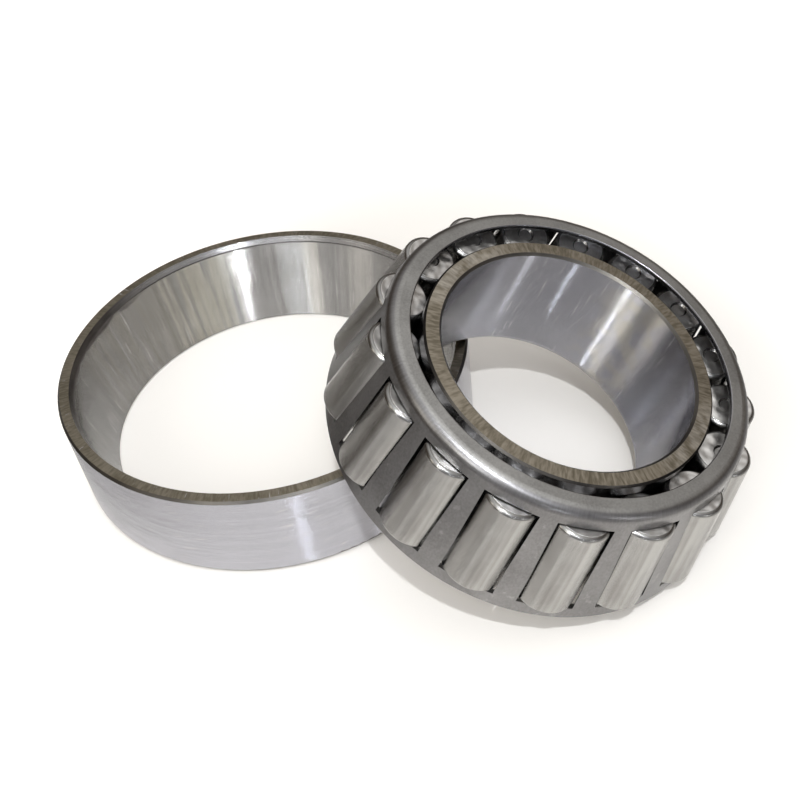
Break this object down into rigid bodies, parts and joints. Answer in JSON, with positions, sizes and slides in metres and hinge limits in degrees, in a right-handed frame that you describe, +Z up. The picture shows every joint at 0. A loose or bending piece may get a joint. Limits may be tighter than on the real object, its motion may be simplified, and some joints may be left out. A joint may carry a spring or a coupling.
{
  "type": "tapered roller bearing",
  "caption": "Tapered roller bearing taken apart: the outer cup lies flat and the cone assembly, an inner ring with caged tapered rollers, leans on its rim.",
  "frame": {"origin": "middle of the footprint on the surface that the cup lies on", "axes": "+Z up, along the cup's axis; +X from the cup towards the leaning cone assembly, whose axis lies in the XZ plane, 23.2 degrees from the vertical; +Y completes the right-handed frame"},
  "size_m": [0.268, 0.162, 0.0948],
  "materials": {
    "cup_steel": "ground bearing steel, satin outside, honed raceway",
    "ring_steel": "ground bearing steel, faces with a fine lay, polished bore",
    "cage_steel": "matte grey pressed sheet steel",
    "roller_steel": "polished bearing steel"
  },
  "bodies": {
    "cup": {"cup": "cup_steel"},
    "inner_ring": {"inner_ring": "ring_steel"},
    "cage": {"cage": "cage_steel"},
    "roller_01": {"roller_01": "roller_steel"},
    "roller_02": {"roller_02": "roller_steel"},
    "roller_03": {"roller_03": "roller_steel"},
    "roller_04": {"roller_04": "roller_steel"},
    "roller_05": {"roller_05": "roller_steel"},
    "roller_06": {"roller_06": "roller_steel"},
    "roller_07": {"roller_07": "roller_steel"},
    "roller_08": {"roller_08": "roller_steel"},
    "roller_09": {"roller_09": "roller_steel"},
    "roller_10": {"roller_10": "roller_steel"},
    "roller_11": {"roller_11": "roller_steel"},
    "roller_12": {"roller_12": "roller_steel"},
    "roller_13": {"roller_13": "roller_steel"},
    "roller_14": {"roller_14": "roller_steel"},
    "roller_15": {"roller_15": "roller_steel"},
    "roller_16": {"roller_16": "roller_steel"},
    "roller_17": {"roller_17": "roller_steel"}
  },
  "joints": [
    {"name": "cone_lift_off", "type": "slide", "parent": "cup", "child": "inner_ring", "axis": [0, 0, 1], "range_m": [0, 0.08]},
    {"name": "cage_turn", "type": "hinge", "parent": "inner_ring", "child": "cage", "pos_m": [0.05384, 0, 0.02406], "axis": [0.3939, 0, 0.9191], "continuous": true},
    {"name": "roller_01_spin", "type": "hinge", "parent": "cage", "child": "roller_01", "pos_m": [0.11728, -0.00187, 0.00703], "axis": [0.2113, 0.0055, 0.9774], "continuous": true},
    {"name": "roller_02_spin", "type": "hinge", "parent": "cage", "child": "roller_02", "pos_m": [0.11387, 0.02174, 0.0085], "axis": [0.2214, -0.0638, 0.9731], "continuous": true},
    {"name": "roller_03_spin", "type": "hinge", "parent": "cage", "child": "roller_03", "pos_m": [0.10285, 0.04242, 0.01322], "axis": [0.2537, -0.1245, 0.9592], "continuous": true},
    {"name": "roller_04_spin", "type": "hinge", "parent": "cage", "child": "roller_04", "pos_m": [0.0857, 0.05737, 0.02057], "axis": [0.304, -0.1683, 0.9377], "continuous": true},
    {"name": "roller_05_spin", "type": "hinge", "parent": "cage", "child": "roller_05", "pos_m": [0.06475, 0.06457, 0.02955], "axis": [0.3655, -0.1895, 0.9113], "continuous": true},
    {"name": "roller_06_spin", "type": "hinge", "parent": "cage", "child": "roller_06", "pos_m": [0.04282, 0.06305, 0.03895], "axis": [0.4298, -0.185, 0.8838], "continuous": true},
    {"name": "roller_07_spin", "type": "hinge", "parent": "cage", "child": "roller_07", "pos_m": [0.02288, 0.05301, 0.04749], "axis": [0.4883, -0.1556, 0.8587], "continuous": true},
    {"name": "roller_08_spin", "type": "hinge", "parent": "cage", "child": "roller_08", "pos_m": [0.00762, 0.03582, 0.05404], "axis": [0.5331, -0.1051, 0.8395], "continuous": true},
    {"name": "roller_09_spin", "type": "hinge", "parent": "cage", "child": "roller_09", "pos_m": [-0.0009, 0.01379, 0.05769], "axis": [0.5581, -0.0405, 0.8288], "continuous": true},
    {"name": "roller_10_spin", "type": "hinge", "parent": "cage", "child": "roller_10", "pos_m": [-0.00154, -0.01011, 0.05796], "axis": [0.56, 0.0297, 0.828], "continuous": true},
    {"name": "roller_11_spin", "type": "hinge", "parent": "cage", "child": "roller_11", "pos_m": [0.00581, -0.03264, 0.05481], "axis": [0.5384, 0.0958, 0.8372], "continuous": true},
    {"name": "roller_12_spin", "type": "hinge", "parent": "cage", "child": "roller_12", "pos_m": [0.02014, -0.05076, 0.04867], "axis": [0.4964, 0.1489, 0.8552], "continuous": true},
    {"name": "roller_13_spin", "type": "hinge", "parent": "cage", "child": "roller_13", "pos_m": [0.03951, -0.06202, 0.04037], "axis": [0.4395, 0.182, 0.8796], "continuous": true},
    {"name": "roller_14_spin", "type": "hinge", "parent": "cage", "child": "roller_14", "pos_m": [0.06132, -0.06491, 0.03102], "axis": [0.3755, 0.1905, 0.907], "continuous": true},
    {"name": "roller_15_spin", "type": "hinge", "parent": "cage", "child": "roller_15", "pos_m": [0.08262, -0.05904, 0.02189], "axis": [0.3131, 0.1732, 0.9338], "continuous": true},
    {"name": "roller_16_spin", "type": "hinge", "parent": "cage", "child": "roller_16", "pos_m": [0.10053, -0.04519, 0.01421], "axis": [0.2605, 0.1326, 0.9563], "continuous": true},
    {"name": "roller_17_spin", "type": "hinge", "parent": "cage", "child": "roller_17", "pos_m": [0.11263, -0.02523, 0.00903], "axis": [0.225, 0.074, 0.9715], "continuous": true}
  ],
  "couplings": [
    {"joint": "roller_01_spin", "follows": "cage_turn", "ratio": 5.1024},
    {"joint": "roller_02_spin", "follows": "cage_turn", "ratio": 5.1024},
    {"joint": "roller_03_spin", "follows": "cage_turn", "ratio": 5.1024},
    {"joint": "roller_04_spin", "follows": "cage_turn", "ratio": 5.1024},
    {"joint": "roller_05_spin", "follows": "cage_turn", "ratio": 5.1024},
    {"joint": "roller_06_spin", "follows": "cage_turn", "ratio": 5.1024},
    {"joint": "roller_07_spin", "follows": "cage_turn", "ratio": 5.1024},
    {"joint": "roller_08_spin", "follows": "cage_turn", "ratio": 5.1024},
    {"joint": "roller_09_spin", "follows": "cage_turn", "ratio": 5.1024},
    {"joint": "roller_10_spin", "follows": "cage_turn", "ratio": 5.1024},
    {"joint": "roller_11_spin", "follows": "cage_turn", "ratio": 5.1024},
    {"joint": "roller_12_spin", "follows": "cage_turn", "ratio": 5.1024},
    {"joint": "roller_13_spin", "follows": "cage_turn", "ratio": 5.1024},
    {"joint": "roller_14_spin", "follows": "cage_turn", "ratio": 5.1024},
    {"joint": "roller_15_spin", "follows": "cage_turn", "ratio": 5.1024},
    {"joint": "roller_16_spin", "follows": "cage_turn", "ratio": 5.1024},
    {"joint": "roller_17_spin", "follows": "cage_turn", "ratio": 5.1024}
  ]
}
